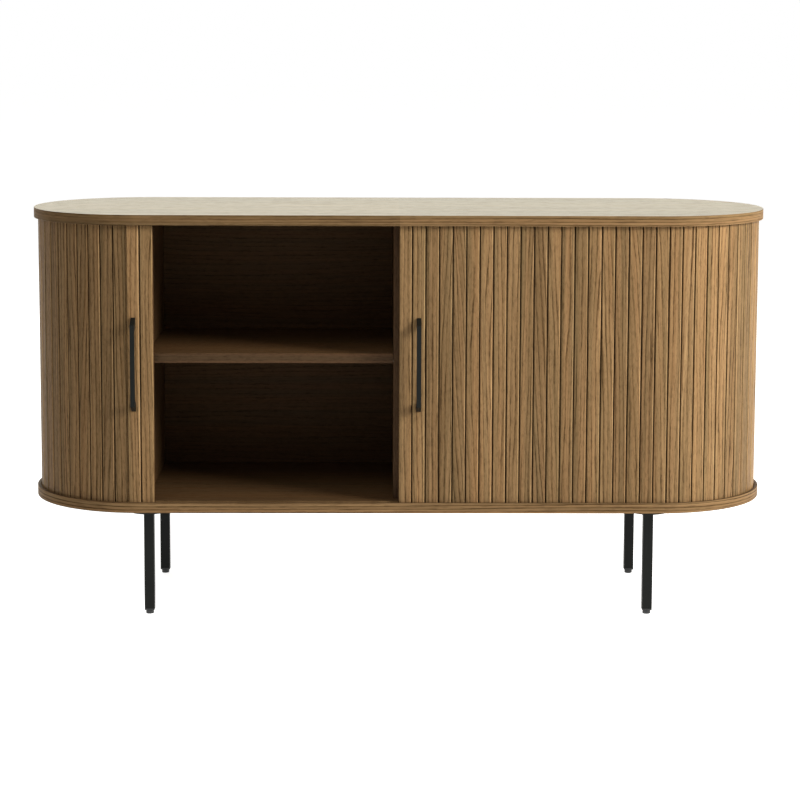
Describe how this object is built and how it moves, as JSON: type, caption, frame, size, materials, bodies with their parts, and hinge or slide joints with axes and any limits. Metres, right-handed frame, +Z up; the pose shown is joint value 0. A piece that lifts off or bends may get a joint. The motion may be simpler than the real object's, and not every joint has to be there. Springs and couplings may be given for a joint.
{
  "type": "sideboard",
  "caption": "Long sideboard with rounded ends, two slatted tambour doors that slide in grooves, a divided and shelved inside, bar handles and slim square metal legs.",
  "frame": {"origin": "under the middle of the whole piece, handles included, at floor level", "axes": "+X to the right along the length, -Y towards the person in front, +Z up"},
  "size_m": [1.4, 0.4148, 0.76],
  "materials": {
    "outer_wood": "matt lacquered brown oak veneer",
    "inner_wood": "matt brown oak veneer",
    "back_board": "thin veneered back board",
    "black_metal": "fine matt black powder coat",
    "black_plastic": "matt black nylon",
    "bright_metal": "zinc plated"
  },
  "bodies": {
    "cabinet": {"top_board": "outer_wood", "bottom_board": "outer_wood", "left_end_run": "outer_wood", "right_end_run": "outer_wood", "left_side_wall": "inner_wood", "right_side_wall": "inner_wood", "centre_divider": "inner_wood", "left_shelf": "inner_wood", "right_shelf": "inner_wood", "left_inner_back": "back_board", "right_inner_back": "back_board", "outer_back": "back_board", "front_left_leg_plate": "black_metal", "front_left_leg": "black_metal", "front_left_leg_plug": "black_plastic", "front_left_foot": "black_plastic", "front_right_leg_plate": "black_metal", "front_right_leg": "black_metal", "front_right_leg_plug": "black_plastic", "front_right_foot": "black_plastic", "rear_left_leg_plate": "black_metal", "rear_left_leg": "black_metal", "rear_left_leg_plug": "black_plastic", "rear_left_foot": "black_plastic", "rear_right_leg_plate": "black_metal", "rear_right_leg": "black_metal", "rear_right_leg_plug": "black_plastic", "rear_right_foot": "black_plastic", "left_shelf_outer_front_pin": "bright_metal", "left_shelf_outer_rear_pin": "bright_metal", "left_shelf_inner_front_pin": "bright_metal", "left_shelf_inner_rear_pin": "bright_metal", "right_shelf_outer_front_pin": "bright_metal", "right_shelf_outer_rear_pin": "bright_metal", "right_shelf_inner_front_pin": "bright_metal", "right_shelf_inner_rear_pin": "bright_metal"},
    "left_door": {"left_lead_slat": "outer_wood", "left_handle_slat": "outer_wood", "left_handle": "black_metal", "left_handle_upper_screw": "bright_metal", "left_handle_lower_screw": "bright_metal", "left_back_run": "outer_wood"},
    "right_door": {"right_lead_slat": "outer_wood", "right_handle_slat": "outer_wood", "right_handle": "black_metal", "right_handle_upper_screw": "bright_metal", "right_handle_lower_screw": "bright_metal", "right_front_run": "outer_wood"}
  },
  "joints": [
    {"name": "left_door_slide", "type": "slide", "parent": "cabinet", "child": "left_door", "axis": [1, 0, 0], "range_m": [0, 0.45], "deforming": ["left_back_run"]},
    {"name": "right_door_slide", "type": "slide", "parent": "cabinet", "child": "right_door", "axis": [1, 0, 0], "range_m": [0, 0.45], "deforming": ["right_front_run"]}
  ]
}
